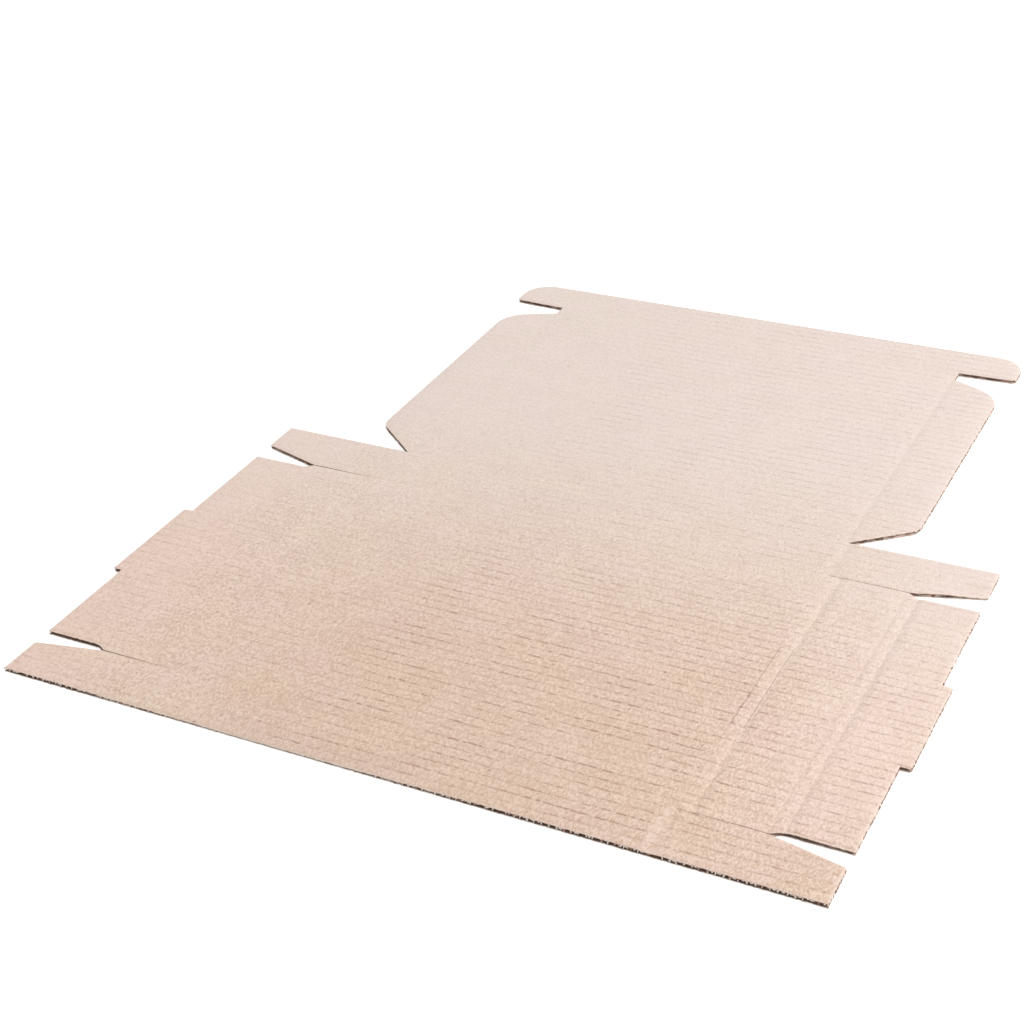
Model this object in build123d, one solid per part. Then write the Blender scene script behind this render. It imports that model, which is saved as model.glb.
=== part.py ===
from build123d import *
import math
import os

# A flat die-cut blank for a roll-over mailer box, cut from one sheet of single-wall corrugated
# board. It lies with its inside up. While it is drawn, x runs across the box, y = 0 is the front
# crease of the base panel, and z = 0 is the underside. At the end it moves to its own frame.

# Board
board_thickness = 2.4
liner_thickness = 0.35
medium_thickness = 0.25
flute_pitch = 6.1
flute_tip_radius = 1.0
trough_steps = 3
first_bond_line_y = -1.1

# Base panel and the walls around it
base_width = 280.2
base_depth = 200.0
front_wall_height = 31.4
back_wall_height = 33.7
outer_wall_height = 34.9
rollover_width = 6.6
inner_wall_height = 31.9

# Side panels, which roll over to make the double side walls
side_panel_inset = 3.4
slot_tip_past_rollover = 1.5
shoulder_length = 6.6

# Dust flaps at the four corners
dust_flap_step = 6.1
dust_flap_length = 79.5
front_slot_mouth = 7.5
back_slot_mouth = 11.0
dust_flap_corner_radius = 2.0

# Locking tabs and the slots that take them, still closed by their chips
tab_length = 65.5
tab_height = 5.1
tab_centre_y = 97.8
tab_corner_radius = 1.5
tab_clearance = 0.4
tab_slot_width = 6.8
chip_nick_width = 1.2

# Lid and its side flaps
lid_step = 8.2
lid_depth = 206.5
lid_flap_height = 31.9
lid_flap_back_angle = 39.0
lid_flap_back_radius = 11.0
lid_flap_front_angle = 24.0
lid_flap_front_radius = 19.6
notch_step = 1.2
notch_back = 7.2
notch_front = 1.7

# Tuck flap with a lock ear at each end
tuck_depth = 30.0
lock_ear_length = 35.2
lock_ear_angle = 2.5
lock_ear_corner_radius = 16.4
lock_ear_heel_radius = 3.0

# Cuts and creases
cut_width = 0.4
crease_width = 7.0
crease_floor = 1.5
crease_depth = 0.2

# Places that follow from the sizes above
side_crease_x = base_width / 2
first_rollover_x = side_crease_x + outer_wall_height
second_rollover_x = first_rollover_x + rollover_width
side_edge_x = second_rollover_x + inner_wall_height
slot_tip_x = first_rollover_x + slot_tip_past_rollover
dust_crease_x = side_crease_x - dust_flap_step
dust_edge_x = dust_crease_x + dust_flap_length
lid_crease_x = side_crease_x - lid_step
lid_edge_x = lid_crease_x + lid_flap_height
notch_x = lid_crease_x + notch_step
lock_ear_x = lid_crease_x + lock_ear_length
front_edge_y = -front_wall_height
back_crease_y = base_depth
hinge_crease_y = base_depth + back_wall_height
tuck_crease_y = hinge_crease_y + lid_depth
tuck_edge_y = tuck_crease_y + tuck_depth
reach_x = max(side_edge_x + tab_height, dust_edge_x, lid_edge_x, lock_ear_x)
overrun = 5.0


def panel(points):
    """A flat panel from its corners."""
    return make_face(Polyline(*points, close=True))


def rounded(face, x, y, radius):
    """The panel with the corner nearest to (x, y) rounded."""
    corner = face.vertices().sort_by_distance((x, y))[0]
    return fillet(corner, radius)


def block(x0, x1, y0, y1):
    """A rectangle between two opposite corners."""
    return Pos((x0 + x1) / 2, (y0 + y1) / 2) * Rectangle(x1 - x0, y1 - y0)


def centre_strip():
    """Front wall, base, back wall and lid, in one strip from the front edge to the tuck crease."""
    walls = block(-dust_crease_x, dust_crease_x, front_edge_y, hinge_crease_y)
    lid = block(-notch_x, notch_x, hinge_crease_y, tuck_edge_y)
    return walls + lid


def side_panel():
    """The right-hand outer wall, roll-over strip and inner wall, with the tab on its edge."""
    front = side_panel_inset
    back = base_depth - side_panel_inset
    front_cut = cut_width / 2
    back_cut = base_depth - cut_width / 2
    shoulder_x = slot_tip_x + shoulder_length
    outline = [
        Line((dust_crease_x, front_cut), (slot_tip_x, front_cut)),
        Spline(
            (slot_tip_x, front_cut),
            (shoulder_x, front),
            tangents=((1, 0.8), (1, 0)),
        ),
        Polyline(
            (shoulder_x, front),
            (side_edge_x, front),
            (side_edge_x, back),
            (shoulder_x, back),
        ),
        Spline(
            (shoulder_x, back),
            (slot_tip_x, back_cut),
            tangents=((-1, 0), (-1, 0.8)),
        ),
        Polyline(
            (slot_tip_x, back_cut),
            (dust_crease_x, back_cut),
            (dust_crease_x, front_cut),
        ),
    ]
    face = make_face(outline)
    tab_y0 = tab_centre_y - tab_length / 2
    tab_y1 = tab_centre_y + tab_length / 2
    tab_x = side_edge_x + tab_height
    tab = block(second_rollover_x, tab_x, tab_y0, tab_y1)
    tab = rounded(tab, tab_x, tab_y0, tab_corner_radius)
    tab = rounded(tab, tab_x, tab_y1, tab_corner_radius)
    return face + tab


def dust_flap(cut_y, edge_y, mouth_y):
    """A right-hand dust flap between its outer edge and the cut beside the side panel, which is
    shut as far as the slot's tip and then opens into the tapering slot."""
    face = panel(
        [
            (dust_crease_x, edge_y),
            (dust_edge_x, edge_y),
            (dust_edge_x, mouth_y),
            (slot_tip_x, cut_y),
            (dust_crease_x, cut_y),
        ]
    )
    return rounded(face, dust_edge_x, mouth_y, dust_flap_corner_radius)


def lid_flap():
    """The right-hand lid flap, with its slanted and rounded back and front ends."""
    notch_y = tuck_crease_y - notch_back
    width = lid_edge_x - notch_x
    back_y = hinge_crease_y + width * math.tan(math.radians(lid_flap_back_angle))
    front_y = notch_y - width * math.tan(math.radians(lid_flap_front_angle))
    face = panel(
        [
            (notch_x, hinge_crease_y),
            (lid_edge_x, back_y),
            (lid_edge_x, front_y),
            (notch_x, notch_y),
        ]
    )
    face = rounded(face, lid_edge_x, back_y, lid_flap_back_radius)
    return rounded(face, lid_edge_x, front_y, lid_flap_front_radius)


def lock_ear():
    """The right-hand end of the tuck flap, which locks into the front of the closed box."""
    heel_y = tuck_crease_y + notch_front
    rise = (lock_ear_x - notch_x) * math.tan(math.radians(lock_ear_angle))
    face = panel(
        [
            (notch_x, heel_y),
            (lock_ear_x, heel_y + rise),
            (lock_ear_x, tuck_edge_y),
            (notch_x, tuck_edge_y),
        ]
    )
    face = rounded(face, lock_ear_x, tuck_edge_y, lock_ear_corner_radius)
    return rounded(face, lock_ear_x, heel_y + rise, lock_ear_heel_radius)


def chip_cut():
    """The knife line around the chip in the right-hand tab slot. The chip still hangs on a nick
    at each end."""
    slot_y0 = tab_centre_y - tab_length / 2 - tab_clearance
    slot_y1 = tab_centre_y + tab_length / 2 + tab_clearance
    slot_x0 = side_crease_x - tab_slot_width
    slot = block(slot_x0, side_crease_x, slot_y0, slot_y1)
    chip = block(
        slot_x0 + cut_width,
        side_crease_x - cut_width,
        slot_y0 + cut_width,
        slot_y1 - cut_width,
    )
    nick_x = (slot_x0 + side_crease_x) / 2
    nicks = block(
        nick_x - chip_nick_width / 2,
        nick_x + chip_nick_width / 2,
        slot_y0 - cut_width,
        slot_y1 + cut_width,
    )
    return slot - chip - nicks


def blank_outline():
    """The whole die line, drawn on the right and mirrored to the left."""
    half_cut = cut_width / 2
    right = side_panel()
    right += dust_flap(-half_cut, front_edge_y, -front_slot_mouth)
    right += dust_flap(base_depth + half_cut, hinge_crease_y, base_depth + back_slot_mouth)
    right += lid_flap()
    right += lock_ear()
    outline = centre_strip() + right + mirror(right, about=Plane.YZ)
    cut = chip_cut()
    return outline - cut - mirror(cut, about=Plane.YZ)


def crease_lines():
    """Each crease as its two ends. The ones that end at a cut edge run a little past it."""
    front = front_edge_y - overrun
    lines = [
        ((-dust_crease_x, 0), (dust_crease_x, 0)),
        ((-dust_crease_x, back_crease_y), (dust_crease_x, back_crease_y)),
        ((-dust_crease_x, hinge_crease_y), (dust_crease_x, hinge_crease_y)),
        ((-lid_crease_x, tuck_crease_y), (lid_crease_x, tuck_crease_y)),
    ]
    for side in (-1, 1):
        for x in (side_crease_x, first_rollover_x, second_rollover_x):
            lines.append(((side * x, 0), (side * x, base_depth)))
        dust_x = side * dust_crease_x
        lines.append(((dust_x, front), (dust_x, 0)))
        lines.append(((dust_x, back_crease_y), (dust_x, hinge_crease_y)))
        lid_x = side * lid_crease_x
        lines.append(((lid_x, hinge_crease_y), (lid_x, tuck_crease_y)))
    return lines


def crease_bar(start, end):
    """A bar along a crease, whose underside is the dish that the creasing rule presses."""
    section = Polyline(
        (-crease_width / 2, overrun),
        (-crease_width / 2, 0),
        (-crease_floor / 2, -crease_depth),
        (crease_floor / 2, -crease_depth),
        (crease_width / 2, 0),
        (crease_width / 2, overrun),
        close=True,
    )
    along = Vector(end[0] - start[0], end[1] - start[1], 0)
    plane = Plane(
        origin=(start[0], start[1], board_thickness),
        x_dir=(-along.Y, along.X, 0),
        z_dir=along,
    )
    face = make_face(plane * section)
    return extrude(face, amount=along.length, dir=along.normalized())


def flute_section():
    """The air space between a liner and one trough of the medium, in (y, z) about the trough's
    middle and the board's mid-height: the liner line, two flanks, and a trough that turns from
    one flank to the other in equal steps."""
    wave_height = board_thickness - 2 * liner_thickness - medium_thickness
    tip_drop = wave_height - 2 * flute_tip_radius
    tip_distance = math.hypot(flute_pitch / 2, tip_drop)
    flank_angle = math.atan2(tip_drop, flute_pitch / 2)
    flank_angle += math.asin(2 * flute_tip_radius / tip_distance)
    trough_radius = flute_tip_radius - medium_thickness / 2
    centre_z = flute_tip_radius - wave_height / 2
    step = 2 * flank_angle / trough_steps
    trough = []
    for count in range(trough_steps + 1):
        turn = count * step - flank_angle
        y = trough_radius * math.sin(turn)
        z = centre_z - trough_radius * math.cos(turn)
        trough.append((y, z))
    toe_y, toe_z = trough[-1]
    liner_z = board_thickness / 2 - liner_thickness
    mouth_y = toe_y + (liner_z - toe_z) / math.tan(flank_angle)
    return make_face(Polyline(*trough, (mouth_y, liner_z), (-mouth_y, liner_z), close=True))


def flute_channels():
    """Every air channel, above and below the medium in turn, from one cut edge to the other."""
    section = flute_section()
    side_plane = Plane(origin=(-reach_x - overrun, 0, 0), x_dir=(0, 1, 0), z_dir=(1, 0, 0))
    length = 2 * (reach_x + overrun)
    first = math.floor((front_edge_y - first_bond_line_y) / flute_pitch) - 1
    last = math.ceil((tuck_edge_y - first_bond_line_y) / flute_pitch) + 1
    middle = board_thickness / 2
    channels = []
    for count in range(first, last):
        bond_y = first_bond_line_y + count * flute_pitch
        trough_y = bond_y + flute_pitch / 2
        upper = side_plane * Pos(trough_y, middle) * section
        lower = side_plane * Pos(bond_y, middle) * Rot(0, 0, 180) * section
        channels.append(extrude(upper, amount=length, dir=(1, 0, 0)))
        channels.append(extrude(lower, amount=length, dir=(1, 0, 0)))
    return channels


def mailer_blank():
    """The board cut to the die line, with its creases pressed in and its flutes left open."""
    blank = extrude(blank_outline(), amount=board_thickness)
    blank -= [crease_bar(start, end) for start, end in crease_lines()]
    blank -= flute_channels()
    middle_y = (front_edge_y + tuck_edge_y) / 2
    return Pos(0, -middle_y, 0) * blank


os.makedirs("parts", exist_ok=True)
export_step(mailer_blank(), "parts/mailer_blank.step")
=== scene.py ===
# A die-cut mailer box blank of single-wall corrugated board, lying flat with its inside up.
# All sizes are in metres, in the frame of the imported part.
import math
import random

import bpy
import numpy as np
from mathutils import Matrix, Vector
from mathutils.geometry import delaunay_2d_cdt
from mathutils.kdtree import KDTree


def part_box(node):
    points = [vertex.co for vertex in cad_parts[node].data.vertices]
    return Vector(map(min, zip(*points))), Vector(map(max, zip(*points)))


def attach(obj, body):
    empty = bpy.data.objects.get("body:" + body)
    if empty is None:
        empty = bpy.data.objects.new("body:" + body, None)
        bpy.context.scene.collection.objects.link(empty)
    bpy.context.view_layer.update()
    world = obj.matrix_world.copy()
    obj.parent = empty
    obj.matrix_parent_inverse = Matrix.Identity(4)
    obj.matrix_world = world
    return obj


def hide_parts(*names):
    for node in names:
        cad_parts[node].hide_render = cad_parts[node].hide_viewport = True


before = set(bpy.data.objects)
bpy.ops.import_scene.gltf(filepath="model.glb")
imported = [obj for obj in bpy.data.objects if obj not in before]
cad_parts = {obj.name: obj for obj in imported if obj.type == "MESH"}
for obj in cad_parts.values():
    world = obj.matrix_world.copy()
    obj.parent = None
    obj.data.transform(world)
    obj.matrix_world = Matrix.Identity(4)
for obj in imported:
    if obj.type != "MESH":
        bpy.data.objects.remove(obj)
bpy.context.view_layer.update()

# Inside liner: the face that shows, recycled kraft paper a third of a millimetre thick, glued on
# the flutes. A flat die strikes it from above: knives cut the outline and the slots and press the
# rim down, and blunt rules press the creases. The flutes below leave a faint line every 6.1 mm.
front_wall_height = 0.0314
base_depth = 0.2
back_wall_height = 0.0337
lid_depth = 0.2065
side_crease_x = 0.1401
first_rollover_x = 0.175
second_rollover_x = 0.1816
side_edge_x = 0.2135
side_panel_inset = 0.0034
slot_tip_x = 0.1765
shoulder_length = 0.0066
dust_crease_x = 0.134
dust_edge_x = 0.2135
dust_corner_radius = 0.002
front_slot_mouth = 0.0075
back_slot_mouth = 0.011
tab_length = 0.0655
tab_height = 0.0051
tab_middle = 0.0978
tab_corner_radius = 0.0015
lid_crease_x = 0.1319
lid_edge_x = 0.1638
lid_back_slope = math.tan(math.radians(39))
lid_back_radius = 0.011
lid_front_slope = math.tan(math.radians(24))
lid_front_radius = 0.0196
notch_x = 0.1331
notch_back = 0.0072
notch_front = 0.0017
lock_ear_x = 0.1671
lock_ear_slope = math.tan(math.radians(2.5))
lock_ear_radius = 0.0164
lock_ear_heel_radius = 0.003
cut_width = 0.0004
tooth_pitch = 0.0035
flute_pitch = 0.0061
first_bond_line = -0.0011

sheet_low, sheet_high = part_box("mailer_blank")
board_thickness = sheet_high.z
front_edge_y = sheet_low.y
front_crease_y = front_edge_y + front_wall_height
back_crease_y = front_crease_y + base_depth
hinge_crease_y = back_crease_y + back_wall_height
tuck_crease_y = hinge_crease_y + lid_depth
tuck_edge_y = sheet_high.y
bond_line_y = front_crease_y + first_bond_line


def shoulder(crease_y, towards):
    """The curve from a slot's tip out to the side panel's edge."""
    points = []
    steps = 8
    rise = side_panel_inset - cut_width / 2
    for count in range(1, steps):
        t = count / steps
        x = slot_tip_x + shoulder_length * t
        y = cut_width / 2 + rise * math.sin(t * math.pi / 2)
        points.append((x, crease_y + towards * y, 0))
    return points


def half_line(half_cut, end_half_cut):
    """Corners (x, y, radius) of the die line, from the middle of the front edge round to the
    middle of the tuck edge. The two cuts beside the dust flaps are all but shut at the creases
    and open a little towards the slots' tips."""
    tab_start = front_crease_y + tab_middle - tab_length / 2
    tab_end = tab_start + tab_length
    tab_x = side_edge_x + tab_height
    notch_y = tuck_crease_y - notch_back
    heel_y = tuck_crease_y + notch_front
    flap_width = lid_edge_x - notch_x
    lid_back_y = hinge_crease_y + flap_width * lid_back_slope
    lid_front_y = notch_y - flap_width * lid_front_slope
    ear_y = heel_y + (lock_ear_x - notch_x) * lock_ear_slope
    return [
        (0, front_edge_y, 0),
        (dust_edge_x, front_edge_y, 0),
        (dust_edge_x, front_crease_y - front_slot_mouth, dust_corner_radius),
        (slot_tip_x, front_crease_y - half_cut, 0),
        (dust_crease_x, front_crease_y - end_half_cut, 0),
        (dust_crease_x, front_crease_y + end_half_cut, 0),
        (slot_tip_x, front_crease_y + half_cut, 0),
        *shoulder(front_crease_y, 1),
        (slot_tip_x + shoulder_length, front_crease_y + side_panel_inset, 0),
        (side_edge_x, front_crease_y + side_panel_inset, 0),
        (side_edge_x, tab_start, 0),
        (tab_x, tab_start, tab_corner_radius),
        (tab_x, tab_end, tab_corner_radius),
        (side_edge_x, tab_end, 0),
        (side_edge_x, back_crease_y - side_panel_inset, 0),
        (slot_tip_x + shoulder_length, back_crease_y - side_panel_inset, 0),
        *reversed(shoulder(back_crease_y, -1)),
        (slot_tip_x, back_crease_y - half_cut, 0),
        (dust_crease_x, back_crease_y - end_half_cut, 0),
        (dust_crease_x, back_crease_y + end_half_cut, 0),
        (slot_tip_x, back_crease_y + half_cut, 0),
        (dust_edge_x, back_crease_y + back_slot_mouth, dust_corner_radius),
        (dust_edge_x, hinge_crease_y, 0),
        (notch_x, hinge_crease_y, 0),
        (lid_edge_x, lid_back_y, lid_back_radius),
        (lid_edge_x, lid_front_y, lid_front_radius),
        (notch_x, notch_y, 0),
        (notch_x, heel_y, 0),
        (lock_ear_x, ear_y, lock_ear_heel_radius),
        (lock_ear_x, tuck_edge_y, lock_ear_radius),
        (0, tuck_edge_y, 0),
    ]


def rounded(before, corner, after, radius):
    """Points of the arc that rounds one corner."""
    arc_step = math.radians(11)
    least_steps = 3
    into = (before - corner).normalized()
    out = (after - corner).normalized()
    half_angle = into.angle(out) / 2
    middle = corner + (into + out).normalized() * radius / math.sin(half_angle)
    start = corner + into * radius / math.tan(half_angle) - middle
    turn = start.angle_signed(corner + out * radius / math.tan(half_angle) - middle)
    steps = max(least_steps, round(abs(turn) / arc_step))
    return [middle + Matrix.Rotation(-turn * n / steps, 2) @ start for n in range(steps + 1)]


def knife_line():
    """The whole die line as one loop, its corners rounded and its runs divided at half a tooth."""
    right = half_line(half_cut=0.00012, end_half_cut=0.00005)
    left = half_line(half_cut=0.0002, end_half_cut=0.00002)
    left = [(-x, y, radius) for x, y, radius in reversed(left[1:-1])]
    corners = right + left
    loop = []
    for n, (x, y, radius) in enumerate(corners):
        corner = Vector((x, y))
        if radius:
            before = Vector(corners[n - 1][:2])
            after = Vector(corners[(n + 1) % len(corners)][:2])
            loop += rounded(before, corner, after, radius)
        else:
            loop.append(corner)
    divided = []
    for n, start in enumerate(loop):
        run = loop[(n + 1) % len(loop)] - start
        steps = max(1, round(run.length / (tooth_pitch / 2)))
        divided += [start + run * m / steps for m in range(steps)]
    return divided


def in_shut_cut(point):
    """Whether a point lies on one of the cuts beside the dust flaps."""
    beside = abs(point.y - front_crease_y) < cut_width or abs(point.y - back_crease_y) < cut_width
    return beside and dust_crease_x - cut_width < abs(point.x) < slot_tip_x + cut_width


def outward(loop, n):
    """The direction out of the sheet at a point of its edge."""
    along = loop[(n + 1) % len(loop)] - loop[n - 1]
    return Vector((along.y, -along.x)).normalized()


# How far in the rule draws the edge at and between its teeth, before chance moves it out again,
# as shares of the raggedness.
tooth_share = 0.75
between_share = 0.35


def toothed(loop, raggedness, seed):
    """The edge as a toothed rule leaves it: nicked at each tooth and a little uneven."""
    draw = random.Random(seed)
    worn = []
    for n, point in enumerate(loop):
        shift = raggedness * (draw.random() - (tooth_share if n % 2 else between_share))
        if in_shut_cut(point):
            shift = 0
        worn.append(point + outward(loop, n) * shift)
    return worn


# The chip in each tab slot is cut round as two U shapes, six straight cuts in all, and still
# hangs on a nick at each end. The left one's cuts are the finer ones.
cuts_per_chip = 6
slot_width = 0.0068
slot_clearance = 0.0004
chip_nick = 0.0012
chip_cut_width = 0.0002
left_chip_cut_width = 0.00006


def chip_cuts():
    """Rectangles (x0, x1, y0, y1) of the knife lines round both chips, the right one's first."""
    x0 = side_crease_x - slot_width
    x1 = side_crease_x
    y0 = front_crease_y + tab_middle - tab_length / 2 - slot_clearance
    y1 = y0 + tab_length + 2 * slot_clearance
    nick_start = (x0 + x1 - chip_nick) / 2
    nick_end = nick_start + chip_nick
    right, left = [
        [
            (x0, x0 + width, y0, y1),
            (x1 - width, x1, y0, y1),
            (x0, nick_start, y0, y0 + width),
            (nick_end, x1, y0, y0 + width),
            (x0, nick_start, y1 - width, y1),
            (nick_end, x1, y1 - width, y1),
        ]
        for width in (chip_cut_width, left_chip_cut_width)
    ]
    return right + [(-b, -a, c, d) for a, b, c, d in left]


def chip_outlines():
    """The closed loops round the U-shaped cuts."""
    loops = []
    rectangles = chip_cuts()
    for side in (0, cuts_per_chip):
        for upright, low_end, high_end in ((0, 2, 4), (1, 3, 5)):
            ax0, ax1, y0, y1 = rectangles[side + upright]
            bx0, bx1, _, low_y = rectangles[side + low_end]
            _, _, high_y, _ = rectangles[side + high_end]
            inner_x = ax1 if bx1 > ax1 else ax0
            outer_x = ax0 if bx1 > ax1 else ax1
            end_x = bx1 if bx1 > ax1 else bx0
            loops.append(
                [
                    Vector((outer_x, y0)),
                    Vector((end_x, y0)),
                    Vector((end_x, low_y)),
                    Vector((inner_x, low_y)),
                    Vector((inner_x, high_y)),
                    Vector((end_x, high_y)),
                    Vector((end_x, y1)),
                    Vector((outer_x, y1)),
                ]
            )
    return loops


# Creases as (x0, y0, x1, y1, depth as a share). A rule that runs along the flutes falls between
# two of them and leaves little to see. One across them bends the liner in a long curved flank on
# the side nearer the middle of the sheet and a short straight one on the other, and its floor
# lies a little outside the fold's line. The left ones are fainter.
inner_flank = 0.009
outer_flank = 0.0026
floor_shift = 0.0008
crease_depth = 0.0005
crease_run_out = 0.003
creases = [
    (-dust_crease_x, front_crease_y, dust_crease_x, front_crease_y, 0.3),
    (-dust_crease_x, back_crease_y, dust_crease_x, back_crease_y, 0.3),
    (-notch_x, hinge_crease_y, notch_x, hinge_crease_y, 0.35),
    (-lid_crease_x, tuck_crease_y, lid_crease_x, tuck_crease_y, 0.35),
]
dust_share = 0.55
lid_share = 0.6
for side, side_share in ((-1, 0.4), (1, 1)):
    for x, share in ((side_crease_x, 1), (first_rollover_x, 0.6), (second_rollover_x, 1)):
        creases.append((side * x, front_crease_y, side * x, back_crease_y, share * side_share))
    dust_x = side * dust_crease_x
    creases.append((dust_x, front_edge_y, dust_x, front_crease_y, dust_share * side_share))
    creases.append((dust_x, back_crease_y, dust_x, hinge_crease_y, dust_share * side_share))
    lid_x = side * lid_crease_x
    creases.append((lid_x, hinge_crease_y, lid_x, tuck_crease_y, lid_share * side_share))


def creased(xy):
    """How far each point is pressed by the creases, from 0 beside them to 1 at their middle."""
    pressed = np.zeros(len(xy))
    for x0, y0, x1, y1, share in creases:
        upright = x0 == x1
        across, along = (0, 1) if upright else (1, 0)
        middle = x0 if upright else y0
        start, end = (y0, y1) if upright else (x0, x1)
        outwards = (xy[:, across] - middle) * math.copysign(1, middle) - upright * floor_shift
        inward = outwards < 0
        away = np.clip(np.abs(outwards) / np.where(inward, inner_flank, outer_flank), 0, 1)
        past = np.maximum(start - xy[:, along], xy[:, along] - end) / crease_run_out
        dish = share * np.where(inward, (1 - away) ** 2, 1 - away)
        pressed = np.maximum(pressed, dish * np.clip(1 - past, 0, 1))
    return pressed


# The knives press the open rims down. The left half of the front edge is crushed to less than
# half the board's thickness, and two corners at the right slots, (x, y, share), are crushed too.
rim_width = 0.0011
rim_drop = 0.0002
shut_rim_drop = 0.00012
crushed_drop = 0.0011
crushed_depth = 0.014
crushed_middle = -0.062
crushed_half_length = 0.12
crushed_corner_reach = (0.024, 0.009)
crushed_corners = [
    (dust_edge_x, back_crease_y + back_slot_mouth, 0.9),
    (side_edge_x, front_crease_y + side_panel_inset, 0.4),
]
groove_depth = 0.00003
liner_thickness = 0.00035
edge_line = knife_line()


def spread(points):
    """A search tree over points in the plane."""
    tree = KDTree(len(points))
    for n, point in enumerate(points):
        tree.insert((point[0], point[1], 0), n)
    tree.balance()
    return tree


edge_tree = spread(edge_line)
open_edge_tree = spread([p for p in edge_line if not in_shut_cut(p)])


def rim_pressed(xy, tree, width):
    """How near each point is to a cut edge, from 0 at a rim's width away to 1 on the edge."""
    away = np.array([tree.find((x, y, 0))[2] for x, y in xy])
    return np.clip(1 - away / width, 0, 1)


def crushed(xy):
    """How far the board is crushed at each point, from 0 to 1, along the left of the front edge
    and at two corners."""
    near_front = np.clip(1 - (xy[:, 1] - front_edge_y) / crushed_depth, 0, 1)
    off_middle = np.clip(np.abs(xy[:, 0] - crushed_middle) / crushed_half_length, 0, 1)
    pressed = near_front**1.5 * (1 - off_middle**2)
    for x, y, share in crushed_corners:
        reach_x, reach_y = crushed_corner_reach
        away = np.hypot((xy[:, 0] - x) / reach_x, (xy[:, 1] - y) / reach_y)
        pressed = np.maximum(pressed, share * np.clip(1 - away**2, 0, 1))
    return pressed


def board_top(xy):
    """Height of the inside face over the plane of the sheet."""
    groove = 0.5 + 0.5 * np.cos((xy[:, 1] - bond_line_y) * 2 * math.pi / flute_pitch)
    pressed = creased(xy)
    drop = groove_depth * groove * (1 - pressed) + crease_depth * pressed
    drop += shut_rim_drop * rim_pressed(xy, edge_tree, rim_width)
    drop += (rim_drop - shut_rim_drop) * rim_pressed(xy, open_edge_tree, rim_width)
    drop += crushed_drop * crushed(xy)
    return board_thickness - drop


def rim_points(depth):
    """A row of points inside the edge, at a depth from it, but for those that another stretch of
    the edge comes nearer to."""
    least_share = 0.9
    row = []
    for n, point in enumerate(edge_line):
        inner = point - outward(edge_line, n) * depth
        if edge_tree.find((inner.x, inner.y, 0))[2] > least_share * depth:
            row.append(inner)
    return row


def crease_points(row_gap, shares):
    """Rows of points along the flanks and the floor of every crease. The ones on creases that
    cross the flutes stand in the same rows as the rest of the sheet's points."""
    point_gap = 0.006
    rows = []
    for x0, y0, x1, y1, _ in creases:
        if x0 == x1:
            first = math.ceil((y0 - bond_line_y) / row_gap)
            last = math.floor((y1 - bond_line_y) / row_gap)
            floor_x = x0 + math.copysign(floor_shift, x0)
            places = [(floor_x, bond_line_y + n * row_gap) for n in range(first, last + 1)]
            inward = -1 if x0 > 0 else 1
        else:
            count = round((x1 - x0) / point_gap)
            places = [(x0 + (x1 - x0) * n / count, y0) for n in range(count + 1)]
            inward = -1 if y0 > 0 else 1
        for share in shares:
            offset = share * inward * (inner_flank if share > 0 else outer_flank)
            across = Vector((offset, 0)) if x0 == x1 else Vector((0, offset))
            rows += [Vector(place) + across for place in places]
    return rows


def flute_rows(rows_per_flute, column_gap):
    """Points in rows that run along the flutes, at the same heights of the wave each time."""
    row_gap = flute_pitch / rows_per_flute
    first = math.ceil((sheet_low.y - bond_line_y) / row_gap)
    last = math.floor((sheet_high.y - bond_line_y) / row_gap)
    columns = round((sheet_high.x - sheet_low.x) / column_gap)
    points = []
    for row in range(first, last + 1):
        y = bond_line_y + row * row_gap
        for column in range(columns + 1):
            x = sheet_low.x + (sheet_high.x - sheet_low.x) * column / columns
            points.append(Vector((x, y)))
    return points


def thinned(points, clearance, taken):
    """The points that are clear of the cut edges and of the points already taken."""
    kept = []
    tree = spread(taken) if taken else None
    for point in points:
        if edge_tree.find((point.x, point.y, 0))[2] < clearance:
            continue
        if tree and tree.find((point.x, point.y, 0))[2] < clearance:
            continue
        kept.append(point)
    return kept


def plan_triangles(loops, points, along_flutes=0.3):
    """Triangles that fill the cut sheet. Lengths along the flutes count for less, so that rows
    stay whole. The knife lines round the chips are left open."""
    inside_bounds = 1
    same_point = 1e-8
    corners = [point for loop in loops for point in loop]
    bounds = []
    for loop in loops:
        first = len(bounds)
        bounds += [(first + n, first + (n + 1) % len(loop)) for n in range(len(loop))]
    flat = [Vector((p.x * along_flutes, p.y)) for p in corners + points]
    found = delaunay_2d_cdt(flat, bounds, [], inside_bounds, same_point)
    xy = np.array([(p.x / along_flutes, p.y) for p in found[0]])
    triangles = np.array(found[2])
    centres = xy[triangles].mean(axis=1)
    cut_away = np.zeros(len(triangles), bool)
    for x0, x1, y0, y1 in chip_cuts():
        inside_x = (centres[:, 0] > x0) & (centres[:, 0] < x1)
        cut_away |= inside_x & (centres[:, 1] > y0) & (centres[:, 1] < y1)
    triangles = triangles[~cut_away]
    used, triangles = np.unique(triangles, return_inverse=True)
    xy = xy[used]
    triangles = triangles.reshape(-1, 3)
    sides = xy[triangles[:, 1:]] - xy[triangles[:, :1]]
    turn = sides[:, 0, 0] * sides[:, 1, 1] - sides[:, 0, 1] * sides[:, 1, 0]
    triangles[turn < 0] = triangles[turn < 0][:, ::-1]
    return xy, triangles


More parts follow.
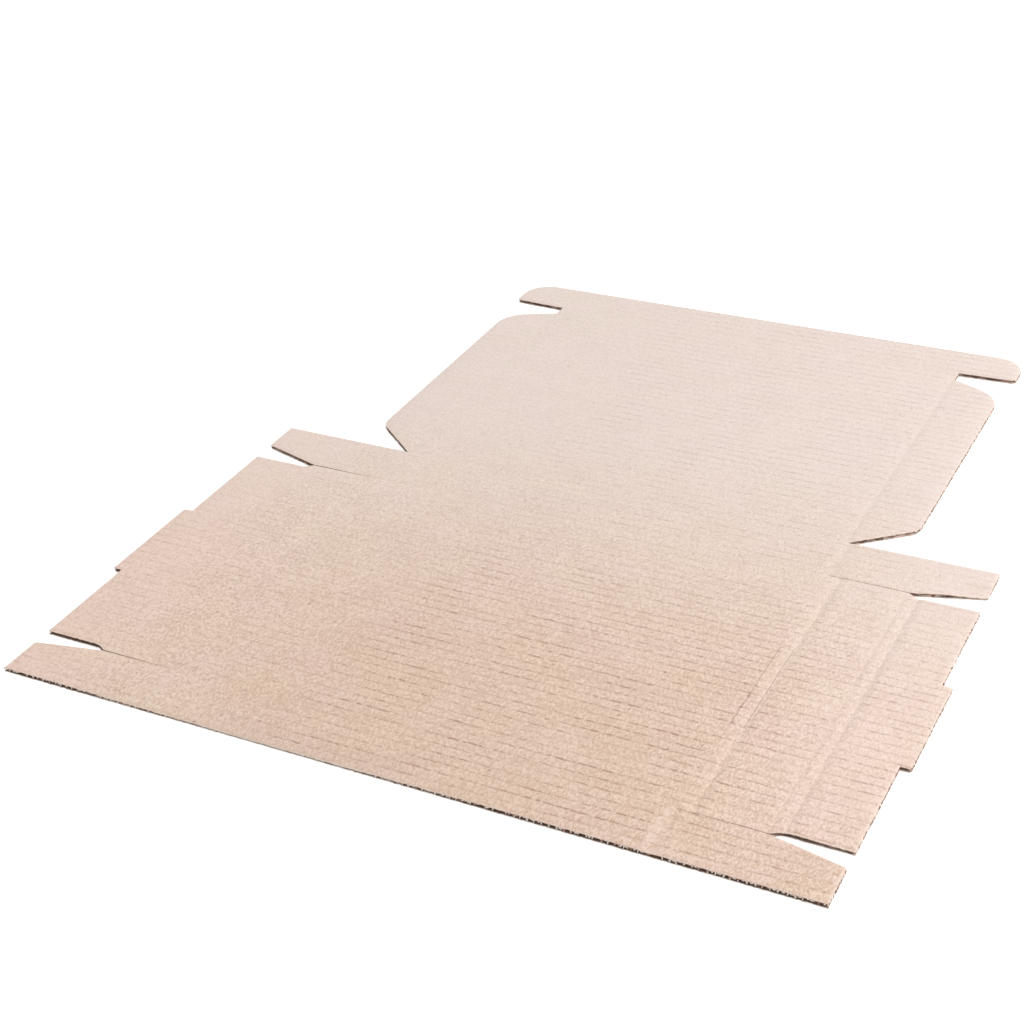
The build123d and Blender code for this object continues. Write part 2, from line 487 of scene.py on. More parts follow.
def paper_sheet(name, loops, points, top, thickness, top_finish=0):
    """A closed sheet of paper over the plan, as thick as stated under its top. Its first finish
    is the one of its faces, and its second the one of its cut edges."""
    xy, triangles = plan_triangles(loops, points)
    high = top(xy)
    count = len(xy)
    ends = np.vstack([triangles[:, [0, 1]], triangles[:, [1, 2]], triangles[:, [2, 0]]])
    forward = {(a, b) for a, b in ends.tolist()}
    rim = np.array([(a, b) for a, b in forward if (b, a) not in forward])
    a, b = rim[:, 0], rim[:, 1]
    upper_walls = np.column_stack([b, a, a + count])
    lower_walls = np.column_stack([b, a + count, b + count])
    walls = np.vstack([upper_walls, lower_walls])
    faces = np.vstack([triangles, triangles[:, ::-1] + count, walls])
    vertices = np.vstack([np.column_stack([xy, high]), np.column_stack([xy, high - thickness])])
    mesh = bpy.data.meshes.new(name)
    mesh.from_pydata(vertices.tolist(), [], faces.tolist())
    mesh.polygons.foreach_set("use_smooth", [True] * len(faces))
    finishes = [top_finish] * len(triangles) + [0] * len(triangles) + [1] * len(walls)
    mesh.polygons.foreach_set("material_index", finishes)
    mesh.set_sharp_from_angle(angle=math.radians(35))
    sheet = bpy.data.objects.new(name, mesh)
    bpy.context.scene.collection.objects.link(sheet)
    return sheet


def note(sheet, name, values):
    """Keeps one value for each point of a sheet, for its material to read."""
    attribute = sheet.data.attributes.new(name, "FLOAT", "POINT")
    attribute.data.foreach_set("value", values.astype(np.float32))


def plan_of(sheet):
    """The (x, y) of each point of a sheet."""
    return np.array([(v.co.x, v.co.y) for v in sheet.data.vertices])


liner_rows_per_flute = 4
liner_flanks = (-1, -0.5, -0.12, 0, 0.08, 0.35, 0.65, 1)
ragged_edge = toothed(edge_line, raggedness=0.00022, seed=4)
inner_rims = rim_points(depth=0.0004) + rim_points(depth=rim_width)
crease_rows = crease_points(flute_pitch / liner_rows_per_flute, liner_flanks)
crease_rows = thinned(crease_rows, clearance=0.0004, taken=inner_rims)
liner_rows = flute_rows(liner_rows_per_flute, column_gap=0.008)
liner_rows = thinned(liner_rows, clearance=0.0007, taken=inner_rims + crease_rows)
inside_liner = paper_sheet(
    "inside_liner",
    [ragged_edge, *chip_outlines()],
    inner_rims + crease_rows + liner_rows,
    board_top,
    liner_thickness,
)


# Pale bands inside the creases: (x, width, y0, y1, strength). On the dust creases the liner is worn
# pale by rubbing; on the side creases the band is a painted highlight. They are fainter at the
# left.
left_band_share = 0.5
rubbed_and_lit_bands = [
    (dust_crease_x, 0.006, front_edge_y, front_crease_y, 1),
    # Painted highlight on the side crease's inner flank.
    (side_crease_x, 0.009, front_crease_y, back_crease_y, 0.3),
    (dust_crease_x, 0.006, back_crease_y, hinge_crease_y, 0.4),
]


def rubbed_and_lit(xy):
    """How pale the liner is at each point, most beside a crease, fading inwards: worn by rubbing
    on the dust creases, a painted highlight on the side creases.
    """
    worn = np.zeros(len(xy))
    for crease_x, width, y0, y1, strength in rubbed_and_lit_bands:
        inside = crease_x - np.abs(xy[:, 0])
        fade = np.clip(1 - inside / width, 0, 1) * (inside > 0)
        worn = np.maximum(worn, strength * fade * (xy[:, 1] > y0) * (xy[:, 1] < y1))
    return worn * np.where(xy[:, 0] > 0, 1, left_band_share)


def shut_cut_shade(xy):
    """How strongly the brown painted shade of the shut cuts shows at each point. It is even in the
    right ones, and in the left ones it fades out towards the crease."""
    reach = 1.5 * cut_width
    right_share = 0.7
    blank_length = 0.003
    fade_length = 0.02
    brown_width = 0.0003
    near = [abs(xy[:, 1] - y) < reach for y in (front_crease_y, back_crease_y)]
    along = (np.abs(xy[:, 0]) > dust_crease_x) & (np.abs(xy[:, 0]) < slot_tip_x)
    fade = np.clip((-xy[:, 0] - dust_crease_x - blank_length) / fade_length, 0.0, 1)
    share = np.where(xy[:, 0] > 0, right_share, fade)
    return rim_pressed(xy, edge_tree, brown_width) * (near[0] | near[1]) * along * share


plan = plan_of(inside_liner)
note(inside_liner, "creased", creased(plan))
note(inside_liner, "rubbed_and_lit", rubbed_and_lit(plan))
# Painted shade of the shut cuts.
note(inside_liner, "cut_shade", shut_cut_shade(plan))
note(inside_liner, "rim", rim_pressed(plan, open_edge_tree, rim_width))
note(inside_liner, "crushed", crushed(plan))


class Paper:
    """The nodes of one paper or board finish, with short calls for the ones used most."""

    def __init__(self, name):
        self.material = bpy.data.materials.new(name)
        self.material.use_nodes = True
        self.nodes = self.material.node_tree.nodes
        self.links = self.material.node_tree.links
        self.shader = self.nodes["Principled BSDF"]
        place = self.nodes.new("ShaderNodeTexCoord")
        self.place = place.outputs["Object"]

    def join(self, value, socket):
        """Feeds a socket from another node, or sets it where the value is plain."""
        if isinstance(value, bpy.types.NodeSocket):
            self.links.new(value, socket)
        else:
            socket.default_value = value

    def across_and_up(self):
        """The x and the y of each spot of the sheet."""
        split = self.nodes.new("ShaderNodeSeparateXYZ")
        self.join(self.place, split.inputs[0])
        return split.outputs["X"], split.outputs["Y"]

    def noise(self, scale, detail=2, rough=0.5):
        """Cloudy noise, its scale given for each axis."""
        mapping = self.nodes.new("ShaderNodeMapping")
        mapping.inputs["Scale"].default_value = scale
        self.join(self.place, mapping.inputs["Vector"])
        node = self.nodes.new("ShaderNodeTexNoise")
        node.inputs["Scale"].default_value = 1
        node.inputs["Detail"].default_value = detail
        node.inputs["Roughness"].default_value = rough
        self.join(mapping.outputs["Vector"], node.inputs["Vector"])
        return node.outputs["Fac"]

    def maths(self, operation, a, b=0.0, clamp=False):
        """One step of arithmetic on values."""
        node = self.nodes.new("ShaderNodeMath")
        node.operation = operation
        node.use_clamp = clamp
        self.join(a, node.inputs[0])
        self.join(b, node.inputs[1])
        return node.outputs[0]

    def plus(self, a, b):
        return self.maths("ADD", a, b)

    def minus(self, a, b):
        return self.maths("SUBTRACT", a, b)

    def times(self, a, b):
        return self.maths("MULTIPLY", a, b)

    def ramp(self, value, low, high, to_low=0.0, to_high=1.0):
        """A smooth rise from to_low, where the value is low, to to_high, where it is high."""
        node = self.nodes.new("ShaderNodeMapRange")
        node.interpolation_type = "SMOOTHSTEP"
        self.join(value, node.inputs["Value"])
        node.inputs["From Min"].default_value = low
        node.inputs["From Max"].default_value = high
        node.inputs["To Min"].default_value = to_low
        node.inputs["To Max"].default_value = to_high
        return node.outputs["Result"]

    def blend(self, share, a, b):
        """Colour a, with a share of colour b over it."""
        node = self.nodes.new("ShaderNodeMix")
        node.data_type = "RGBA"
        self.join(share, node.inputs["Factor"])
        self.join(a, node.inputs["A"])
        self.join(b, node.inputs["B"])
        return node.outputs["Result"]

    def noted(self, name):
        """A value that note() keeps for each point of the sheet."""
        node = self.nodes.new("ShaderNodeAttribute")
        node.attribute_name = name
        return node.outputs["Fac"]

    def crush_lit(self):
        """Where a crushed edge is paled, painted light against the shade on its face: in beads at
        first, and all along where it is thinnest."""
        bead_scale = (330, 330, 330)
        beads = self.ramp(self.noise(bead_scale, 1), 0.4, 0.6, -0.35, 0.35)
        return self.ramp(self.plus(self.noted("crushed"), beads), 0.35, 0.8)

    def paled_gap(self, colour):
        """The colour, paled in spots, most at the back and the right of the sheet, which lightens
        the painted shade of the gap there. On the front edge it is paled only where the board is
        crushed."""
        # This pale lifts the painted shade of the gap; on the crushed edge it is painted light.
        dust = (0.8, 0.66, 0.57, 1)
        spot_scale = (260, 260, 260)
        crush_lit_share = 0.9
        across, up = self.across_and_up()
        share = self.plus(self.ramp(up, -0.2, -0.02, 0.14, 0.48), self.ramp(across, 0, 0.2, 0, 0.3))
        share = self.times(share, self.ramp(up, -0.246, -0.234))
        spots = self.ramp(self.noise(spot_scale, 2), 0.38, 0.6, 0.2, 1.6)
        share = self.maths("MULTIPLY", share, spots, clamp=True)
        # Painted light on the crushed edge.
        share = self.maths("MAXIMUM", share, self.times(self.crush_lit(), crush_lit_share))
        return self.blend(share, colour, dust)

    def finish(self, colour, height, rise, roughness, sheen=0.0):
        """Joins colour and relief to the shader. A paper with no sheen is a bare, duller one."""
        gloss = 0.5 if sheen else 0.15
        sheen_roughness = 0.5
        bump = self.nodes.new("ShaderNodeBump")
        bump.inputs["Distance"].default_value = rise
        self.join(height, bump.inputs["Height"])
        self.join(colour, self.shader.inputs["Base Color"])
        self.join(bump.outputs["Normal"], self.shader.inputs["Normal"])
        self.shader.inputs["Roughness"].default_value = roughness
        self.shader.inputs["Specular IOR Level"].default_value = gloss
        self.shader.inputs["Sheen Weight"].default_value = sheen
        self.shader.inputs["Sheen Roughness"].default_value = sheen_roughness
        return self.material


# Strips of the sheet where the flutes hardly show: (middle x, half width, share that shows).
faint_strips = [
    (-0.005, 0.022, 0.62),
    (0.055, 0.02, 0.78),
]


def inside_liner_paper():
    """Pale recycled kraft: cloudy, fibrous and flecked, with broken dark lines over the flutes."""
    paper = Paper("inside_liner_paper")
    light_pink = (0.875, 0.677, 0.582, 1)
    light_straw = (0.865, 0.683, 0.538, 1)
    tan = (0.64, 0.45, 0.335, 1)
    line_brown = (0.28, 0.125, 0.08, 1)
    fleck_pale = (0.93, 0.82, 0.7, 1)
    shade_brown = (0.6, 0.4, 0.27, 1)
    pinkish = (0.88, 0.71, 0.64, 1)
    rosy = (0.88, 0.65, 0.56, 1)
    sheen_white = (0.81, 0.74, 0.72, 1)
    crease_pale = (0.87, 0.71, 0.6, 1)
    rim_pale = (0.92, 0.78, 0.68, 1)
    across, up = paper.across_and_up()

    # The felt of fibres, crisper at the front left, from straw to pink in large clouds.
    cloud_share = 0.15
    grain_share = 0.65
    fibre_share = 0.35
    mottle_share = 0.8
    even_tone = 0.48
    clouds = paper.ramp(paper.noise((38, 52, 38), 3), 0.3, 0.7)
    grains = paper.noise((980, 560, 700), 3, 0.6)
    fibres = paper.noise((1500, 420, 900), 2, 0.6)
    mottle = paper.plus(paper.times(grains, grain_share), paper.times(fibres, fibre_share))
    mottle = paper.times(paper.ramp(mottle, 0.38, 0.62), mottle_share)
    tone = paper.plus(paper.times(clouds, cloud_share), mottle)
    crisper = paper.ramp(across, -0.2, -0.1, 0.5, 0.25)
    crisper = paper.times(crisper, paper.ramp(up, -0.05, 0.05, 1, 0))
    tone = paper.plus(tone, paper.times(paper.minus(tone, even_tone), crisper))
    tone = paper.plus(tone, paper.ramp(across, -0.13, -0.06, 0.1, 0))
    hue = paper.ramp(paper.noise((24, 30, 24), 2), 0.38, 0.62)
    colour = paper.blend(tone, tan, paper.blend(hue, light_pink, light_straw))

    pale_fleck_share = 0.45
    dark_fleck_share = 0.6
    pale_flecks = paper.ramp(paper.noise((620, 500, 620), 1), 0.66, 0.74)
    colour = paper.blend(paper.times(pale_flecks, pale_fleck_share), colour, fleck_pale)
    dark_flecks = paper.ramp(paper.noise((460, 330, 460), 1), 0.7, 0.76)
    colour = paper.blend(paper.times(dark_flecks, dark_fleck_share), colour, line_brown)

    # Tints by place: browner over the middle of the base and at the front wall's right end, painted
    # shade; paler towards the right and the back, painted light and a painted sheen; paler towards
    # the left.
    wall_end_from = front_crease_y - 0.004
    wall_end_to = front_crease_y + 0.004
    # Painted shade over the middle of the base.
    middle = paper.times(paper.ramp(across, -0.18, -0.03), paper.ramp(across, 0.1, 0.16, 1, 0))
    middle = paper.times(middle, paper.ramp(up, -0.2, 0.1, 0.22, 0))
    colour = paper.blend(middle, colour, shade_brown)
    # Painted shade at the front wall's right end.
    wall_end_shade = paper.ramp(up, wall_end_from, wall_end_to, 0.12, 0)
    wall_end_shade = paper.times(wall_end_shade, paper.ramp(across, 0.11, 0.15))
    colour = paper.blend(wall_end_shade, colour, shade_brown)
    # Painted light towards the right.
    right_painted_light = paper.ramp(across, 0.13, 0.2, 0, 0.35)
    right_painted_light = paper.times(right_painted_light, paper.ramp(up, -0.23, -0.18, 0, 1))
    colour = paper.blend(right_painted_light, colour, pinkish)
    colour = paper.blend(paper.ramp(across, -0.21, -0.14, 0.45, 0), colour, rosy)
    # Painted sheen towards the back.
    colour = paper.blend(paper.ramp(up, -0.18, 0.12, 0, 0.5), colour, sheen_white)

    # The flutes' lines sway by two noises, which average one sway together, and are broken into
    # dashes. They are faint at the left, at the back, on two strips and in the creases.
    sway = 0.0012
    line_share = 0.92
    band_share = 0.2
    wander = paper.times(paper.noise((14, 70, 14), 2), sway)
    jitter = paper.times(paper.noise((200, 330, 200), 1), sway)
    turns = paper.plus(paper.minus(up, bond_line_y + sway), paper.plus(wander, jitter))
    turns = paper.maths("DIVIDE", turns, flute_pitch)
    away = paper.maths("ABSOLUTE", paper.minus(paper.maths("FRACT", turns), 0.5))
    on_line = paper.ramp(away, 0.37, 0.47)
    beside_line = paper.ramp(away, 0.24, 0.5)
    runs = paper.ramp(paper.noise((26, 300, 26), 2, 0.6), 0.36, 0.6, 0.35, 1)
    dashes = paper.ramp(paper.noise((330, 520, 330), 2, 0.7), 0.43, 0.58, 0.12, 1)
    dashes = paper.times(dashes, runs)
    strength = paper.ramp(across, -0.072, -0.035, 0.27, 0.88)
    for middle_x, half_width, share in faint_strips:
        off_middle = paper.maths("ABSOLUTE", paper.minus(across, middle_x))
        strip = paper.ramp(off_middle, 0.2 * half_width, half_width, share, 1)
        strength = paper.times(strength, strip)
    strength = paper.times(strength, paper.ramp(across, 0.148, 0.168, 1, 0.7))
    strength = paper.times(strength, paper.ramp(up, -0.115, -0.03, 1, 0.35))
    strength = paper.times(strength, paper.ramp(paper.noted("creased"), 0.05, 0.7, 1, 0.35))
    lines = paper.times(paper.times(on_line, dashes), strength)
    colour = paper.blend(paper.times(lines, line_share), colour, line_brown)
    band = paper.times(beside_line, paper.times(strength, band_share))
    colour = paper.blend(band, colour, tan)

    # Pale crease bands, worn by rubbing on the dust creases and a painted highlight on the side
    # creases; the painted shade of the shut cuts; and the paler rim, with painted light on the
    # crushed slope.
    pale_band_share = 0.3
    rim_share = 0.55
    # Painted highlight on the side creases, real wear on the dust creases.
    rubbed_and_lit_paler = paper.times(paper.ramp(paper.noted("rubbed_and_lit"), 0, 0.5), pale_band_share)
    colour = paper.blend(rubbed_and_lit_paler, colour, crease_pale)
    # Painted shade beside the shut cuts.
    cut_shade_share = paper.times(paper.noted("cut_shade"), paper.ramp(dashes, 0.1, 0.4, 0.45, 0.85))
    colour = paper.blend(cut_shade_share, colour, line_brown)
    paler_rim = paper.times(paper.ramp(paper.noted("rim"), 0.2, 1), rim_share)
    # Painted light on the crushed slope.
    crush_lit_top = paper.ramp(paper.noted("crushed"), 0, 0.7, 0, 0.08)
    colour = paper.blend(paper.maths("MAXIMUM", paler_rim, crush_lit_top), colour, rim_pale)

    fibre_height = 0.6
    line_depth = 0.8
    height = paper.plus(grains, paper.times(fibres, fibre_height))
    height = paper.minus(height, paper.times(lines, line_depth))
    return paper.finish(colour, height, rise=0.00008, roughness=0.6, sheen=0.2)


def cut_paper(name, darker, paler):
    """The torn and knife-cut edge of the paper, fuzzy and paler or browner from fibre to fibre,
    with a brown painted shade in the shut cuts and pale painted light where the board is crushed."""
    paper = Paper(name)
    cut_shade_brown = (0.2, 0.09, 0.055, 1)
    crush_lit_pale = (0.97, 0.88, 0.8, 1)
    tone = paper.ramp(paper.noise((1300, 1300, 2600), 2), 0.35, 0.65)
    colour = paper.blend(tone, darker, paler)
    # Painted shade in the shut cuts.
    colour = paper.blend(paper.noted("cut_shade"), colour, cut_shade_brown)
    # Painted light on the crushed edge.
    colour = paper.blend(paper.crush_lit(), colour, crush_lit_pale)
    fuzz = paper.noise((2500, 2500, 2500), 1)
    return paper.finish(colour, fuzz, rise=0.00008, roughness=0.95)


inside_liner.data.materials.append(inside_liner_paper())
inside_cut_edge = cut_paper(
    "inside_cut_edge", darker=(0.46, 0.29, 0.23, 1), paler=(0.84, 0.62, 0.54, 1)
)
inside_liner.data.materials.append(inside_cut_edge)
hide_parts("mailer_blank")
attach(inside_liner, "root")

# Outside liner: the golden kraft face that lies down, as thick as the inside liner and glued to
# the flutes. Its edges are cut a little unevenly where the knives come through, and its upper
# face, which shows in the gap at the edges, is a dark brown, painted shade for the gap.
outside_reach = 0.00012
crease_lift = 0.00004
reaching_line = []
for n, point in enumerate(edge_line):
    reach = 0 if in_shut_cut(point) else outside_reach
    reaching_line.append(point + outward(edge_line, n) * reach)
outside_edge = toothed(reaching_line, raggedness=0.0003, seed=9)
outside_rows = flute_rows(rows_per_flute=1, column_gap=0.02)


def outside_top(xy):
    """Upper face of the outside liner, which lifts a little under the creases."""
    return liner_thickness + crease_lift * creased(xy)


outside_liner = paper_sheet(
    "outside_liner",
    [outside_edge, *chip_outlines()],
    thinned(outside_rows, clearance=0.001, taken=[]),
    outside_top,
    liner_thickness,
    top_finish=2,
)
plan = plan_of(outside_liner)
note(outside_liner, "creased", creased(plan))
note(outside_liner, "crushed", crushed(plan))


def outside_liner_paper():
    """Golden kraft: smoother than the inside, cloudy, with a fine grain along the machine's way."""
    paper = Paper("outside_liner_paper")
    deep_gold = (0.55, 0.33, 0.16, 1)
    light_gold = (0.68, 0.44, 0.24, 1)
    fleck_brown = (0.3, 0.17, 0.09, 1)
    crease_gold = (0.74, 0.52, 0.32, 1)
    cloud_share = 0.35
    grain_share = 0.65
    fleck_share = 0.5
    crease_share = 0.25
    clouds = paper.ramp(paper.noise((30, 40, 30), 3), 0.3, 0.7)
    fibres = paper.noise((700, 1600, 700), 3, 0.6)
    grain = paper.times(paper.ramp(fibres, 0.35, 0.65), grain_share)
    tone = paper.plus(paper.times(clouds, cloud_share), grain)
    colour = paper.blend(tone, deep_gold, light_gold)
    flecks = paper.ramp(paper.noise((500, 560, 500), 1), 0.74, 0.79)
    colour = paper.blend(paper.times(flecks, fleck_share), colour, fleck_brown)
    pressed = paper.ramp(paper.noted("creased"), 0.3, 0.9)
    colour = paper.blend(paper.times(pressed, crease_share), colour, crease_gold)
    return paper.finish(colour, fibres, rise=0.00006, roughness=0.7, sheen=0.1)


def shaded_kraft():
    """The face between the liners, a dark brown that is painted shade for the gap."""
    paper = Paper("shaded_kraft")
    # Painted shade: far darker than the golden kraft of the same liner.
    dark_kraft = (0.28, 0.17, 0.12, 1)
    light_kraft = (0.42, 0.28, 0.2, 1)
    tone = paper.ramp(paper.noise((700, 1600, 700), 3), 0.35, 0.65)
    colour = paper.paled_gap(paper.blend(tone, dark_kraft, light_kraft))
    fuzz = paper.noise((1500, 1500, 1500), 1)
    return paper.finish(colour, fuzz, rise=0.00006, roughness=0.95)


outside_liner.data.materials.append(outside_liner_paper())
outside_cut_edge = cut_paper(
    "outside_cut_edge", darker=(0.62, 0.48, 0.4, 1), paler=(0.93, 0.85, 0.79, 1)
)
outside_liner.data.materials.append(outside_cut_edge)
outside_liner.data.materials.append(shaded_kraft())
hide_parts("mailer_blank")
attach(outside_liner, "root")

# Fluted medium: a quarter-millimetre paper between the liners, pressed hot between toothed rolls
# into a wave of 6.1 mm pitch and glued to both liners along its tips. It shows only at the cut
# edges, where its darkened colour is painted shade.
medium_thickness = 0.00025
medium_rows_per_flute = 8
medium_set_back = 0.0004
tip_flatness = 1.5
set_back_line = [p - outward(edge_line, n) * medium_set_back for n, p in enumerate(edge_line)]
medium_edge = toothed(set_back_line, raggedness=0.0002, seed=13)


def medium_top(xy):
    """Upper face of the wave, squeezed where the rim or a crease presses the board down."""
    room = board_top(xy) - 2 * liner_thickness - medium_thickness
    wave = np.cos((xy[:, 1] - bond_line_y) * 2 * math.pi / flute_pitch)
    flattened = np.tanh(tip_flatness * wave) / math.tanh(tip_flatness)
    return liner_thickness + medium_thickness + room * (0.5 + 0.5 * flattened)


medium_flanks = (-1, -0.5, 0, 0.35, 0.65, 1)
medium_creases = crease_points(flute_pitch / medium_rows_per_flute, medium_flanks)
medium_creases = thinned(medium_creases, clearance=0.0005, taken=[])
medium_wave = flute_rows(medium_rows_per_flute, column_gap=0.03)
medium_wave = thinned(medium_wave, clearance=0.0004, taken=medium_creases)
fluted_medium = paper_sheet(
    "fluted_medium",
    [medium_edge, *chip_outlines()],
    medium_creases + medium_wave,
    medium_top,
    medium_thickness,
)
note(fluted_medium, "crushed", crushed(plan_of(fluted_medium)))


def shaded_medium_paper():
    """Brown fluting paper, soft and fibrous, darkened well below its own colour as painted shade
    for the gap.
    """
    paper = Paper("shaded_medium_paper")
    # Painted shade: both browns are far darker than fluting paper, standing for the shade in the
    # gap between the liners.
    dark_brown = (0.12, 0.06, 0.04, 1)
    light_brown = (0.2, 0.11, 0.08, 1)
    tone = paper.ramp(paper.noise((800, 1500, 800), 3), 0.35, 0.65)
    colour = paper.paled_gap(paper.blend(tone, dark_brown, light_brown))
    fuzz = paper.noise((1500, 1500, 1500), 1)
    return paper.finish(colour, fuzz, rise=0.00006, roughness=0.95)


shaded_medium_finish = shaded_medium_paper()
fluted_medium.data.materials.append(shaded_medium_finish)
fluted_medium.data.materials.append(shaded_medium_finish)
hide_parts("mailer_blank")
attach(fluted_medium, "root")

# Torn fibres: on the long outer edges the gaps between the rule's teeth tear the paper instead of
# cutting it. Tongues of it hang from the inside liner's edge, about one to a tooth, with short
# ragged lips between them where the edge is less crushed. The slots and notches are cut clean.
tongue_chance = 0.85
tongue_widths = (0.0006, 0.0014)
tongue_reach = (0.6, 1.0)
lip_chance = 0.75
lip_widths = (0.0012, 0.0026)
lip_reach = (0.1, 0.55)
most_crushed_with_lips = 0.5
strip_thickness = 0.00012
strip_seed = 21

# A strip's rows, from its root to its tip: (share of the length down, share of the width).
strip_rows = ((0, 1), (0.55, 0.8), (1, 0.45))
strip_tuck = 0.00002
strip_jitter = 0.0005
strip_lean_out = 0.00035
strip_lean_along = 0.3


def on_torn_edge(point, out):
    """Whether a point lies on the front edge or on one of the outer sides."""
    outer_from = lid_edge_x - 0.004
    side_facing = 0.8
    front_reach = 0.001
    on_side = abs(point.x) > outer_from and abs(out.x) > side_facing
    return point.y < front_edge_y + front_reach or on_side


def hanging_strip(draw, point, out, widths, reach):
    """Corners of a strip that hangs from the liner's edge and narrows, three rows of two."""
    along = Vector((-out.y, out.x))
    half = draw.uniform(*widths) / 2
    root = point - out * strip_tuck + along * draw.uniform(-strip_jitter, strip_jitter)
    top = float(board_top(np.array([[root.x, root.y]]))[0]) - liner_thickness * 0.5
    length = (top - liner_thickness) * draw.uniform(*reach)
    lean_out = draw.uniform(0.0, strip_lean_out)
    lean_along = draw.uniform(-strip_lean_along, strip_lean_along)
    tip = root + out * lean_out + along * lean_along * length
    corners = []
    for down, narrowed in strip_rows:
        at = root.lerp(tip, down)
        for sign in (-1, 1):
            spot = at + along * half * narrowed * sign
            corners.append((spot.x, spot.y, top - length * down))
    return corners


def torn_strips():
    """All the tongues and lips, each a short strip of two faces."""
    draw = random.Random(strip_seed)
    vertices = []
    faces = []
    crushed_here = crushed(np.array([(p.x, p.y) for p in edge_line]))
    for n, point in enumerate(edge_line):
        out = outward(edge_line, n)
        if not on_torn_edge(point, out):
            continue
        first = len(vertices)
        if n % 2 == 0 and draw.random() < tongue_chance:
            vertices += hanging_strip(draw, point, out, tongue_widths, tongue_reach)
        elif crushed_here[n] < most_crushed_with_lips and draw.random() < lip_chance:
            vertices += hanging_strip(draw, point, out, lip_widths, lip_reach)
        for low in range(first, len(vertices) - 2, 2):
            faces.append((low, low + 1, low + 3, low + 2))
    mesh = bpy.data.meshes.new("torn_fibres")
    mesh.from_pydata(vertices, [], faces)
    fibres = bpy.data.objects.new("torn_fibres", mesh)
    bpy.context.scene.collection.objects.link(fibres)
    thicken = fibres.modifiers.new("thicken", "SOLIDIFY")
    thicken.thickness = strip_thickness
    thicken.offset = 0
    return fibres


def torn_paper():
    """Torn fibre, pale or brown from tongue to tongue."""
    paper = Paper("torn_paper")
    torn_brown = (0.44, 0.28, 0.22, 1)
    torn_pale = (0.88, 0.77, 0.69, 1)
    tone = paper.ramp(paper.noise((420, 420, 420), 1), 0.38, 0.5)
    colour = paper.blend(tone, torn_brown, torn_pale)
    fuzz = paper.noise((2500, 2500, 2500), 1)
    return paper.finish(colour, fuzz, rise=0.00006, roughness=0.95)


torn_fibres = torn_strips()
torn_fibres.data.materials.append(torn_paper())
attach(torn_fibres, "root")

# Floor, light and camera: the blank lies on a plain white sweep. It is lit softly through two
# diffusers, a large one at the back right and a small one at the right, and seen from the front
# right, about 31 degrees above the floor.
half_floor = 6.0
floor_drop = 0.0002
floor_white = (0.8, 0.8, 0.8, 1)
floor_lift = 0.62
room_light = 0.58
floor_mesh = bpy.data.meshes.new("floor")
floor_corners = [
    (-half_floor, -half_floor, 0),
    (half_floor, -half_floor, 0),
    (half_floor, half_floor, 0),
    (-half_floor, half_floor, 0),
]
floor_mesh.from_pydata(floor_corners, [], [(0, 1, 2, 3)])
floor = bpy.data.objects.new("floor", floor_mesh)
floor.location.z = -floor_drop
bpy.context.scene.collection.objects.link(floor)


def seen_or_mirrored(nodes, links):
    """1 for rays from the camera, or by way of gloss or glass, and 0 for the light that bounces."""
    path = nodes.new("ShaderNodeLightPath")
    gloss = nodes.new("ShaderNodeMath")
    gloss.operation = "MAXIMUM"
    links.new(path.outputs["Is Camera Ray"], gloss.inputs[0])
    links.new(path.outputs["Is Glossy Ray"], gloss.inputs[1])
    glass = nodes.new("ShaderNodeMath")
    glass.operation = "MAXIMUM"
    links.new(gloss.outputs[0], glass.inputs[0])
    links.new(path.outputs["Is Transmission Ray"], glass.inputs[1])
    return glass.outputs[0]


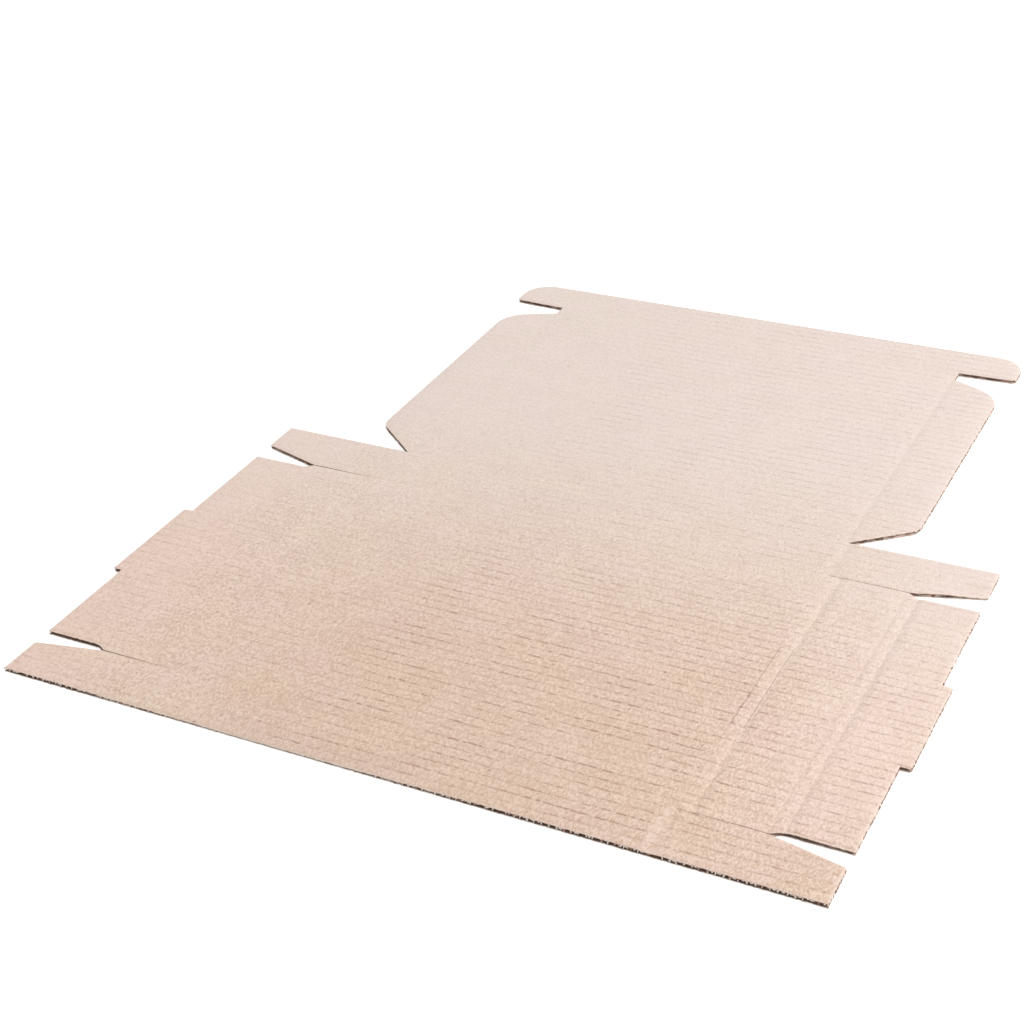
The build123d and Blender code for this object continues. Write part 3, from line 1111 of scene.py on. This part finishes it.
def white_floor():
    """A matt white floor that the camera sees as white, with the sheet's soft shadow on it."""
    material = bpy.data.materials.new("white_floor")
    material.use_nodes = True
    nodes = material.node_tree.nodes
    links = material.node_tree.links
    shader = nodes["Principled BSDF"]
    shader.inputs["Base Color"].default_value = floor_white
    shader.inputs["Roughness"].default_value = 1
    shader.inputs["Specular IOR Level"].default_value = 0
    shader.inputs["Emission Color"].default_value = (1, 1, 1, 1)
    lift = nodes.new("ShaderNodeMath")
    lift.operation = "MULTIPLY"
    links.new(seen_or_mirrored(nodes, links), lift.inputs[0])
    lift.inputs[1].default_value = floor_lift
    links.new(lift.outputs[0], shader.inputs["Emission Strength"])
    return material


floor.data.materials.append(white_floor())

world = bpy.data.worlds.new("white_room")
world.use_nodes = True
bpy.context.scene.world = world
world_nodes = world.node_tree.nodes
world_links = world.node_tree.links
room = world_nodes["Background"]
room.inputs["Color"].default_value = (1, 1, 1, 1)
room_strength = world_nodes.new("ShaderNodeMapRange")
world_links.new(seen_or_mirrored(world_nodes, world_links), room_strength.inputs["Value"])
room_strength.inputs["To Min"].default_value = room_light
room_strength.inputs["To Max"].default_value = 1
world_links.new(room_strength.outputs["Result"], room.inputs["Strength"])


def soft_lamp(name, place, width, height, watts):
    """A flat diffuser that faces the middle of the sheet."""
    light = bpy.data.lights.new(name, "AREA")
    light.shape = "RECTANGLE"
    light.size = width
    light.size_y = height
    light.energy = watts
    lamp = bpy.data.objects.new(name, light)
    lamp.location = place
    lamp.rotation_euler = Vector(place).to_track_quat("Z", "Y").to_euler()
    bpy.context.scene.collection.objects.link(lamp)


soft_lamp("back_diffuser", place=(1.0, 2.8, 1.6), width=1.6, height=1.2, watts=42)
soft_lamp("right_diffuser", place=(1.5, -0.05, 1.1), width=0.7, height=0.7, watts=15.5)

scene = bpy.context.scene
scene.view_settings.view_transform = "Standard"

camera_yaw = math.radians(28.81)
camera_rise = math.radians(31.03)
camera_roll = math.radians(-3.66)
camera_distance = 1.0643
camera_target = Vector((-0.0457, -0.0240, board_thickness))
camera_data = bpy.data.cameras.new("camera")
camera_data.sensor_width = 36
camera_data.lens = 68.23
camera_data.clip_start = 0.01
camera = bpy.data.objects.new("camera", camera_data)
scene.collection.objects.link(camera)
turn = Matrix.Rotation(camera_yaw, 4, "Z") @ Matrix.Rotation(math.pi / 2 - camera_rise, 4, "X")
turn = turn @ Matrix.Rotation(camera_roll, 4, "Z")
back_off = Matrix.Translation((0, 0, camera_distance))
camera.matrix_world = Matrix.Translation(camera_target) @ turn @ back_off
scene.camera = camera
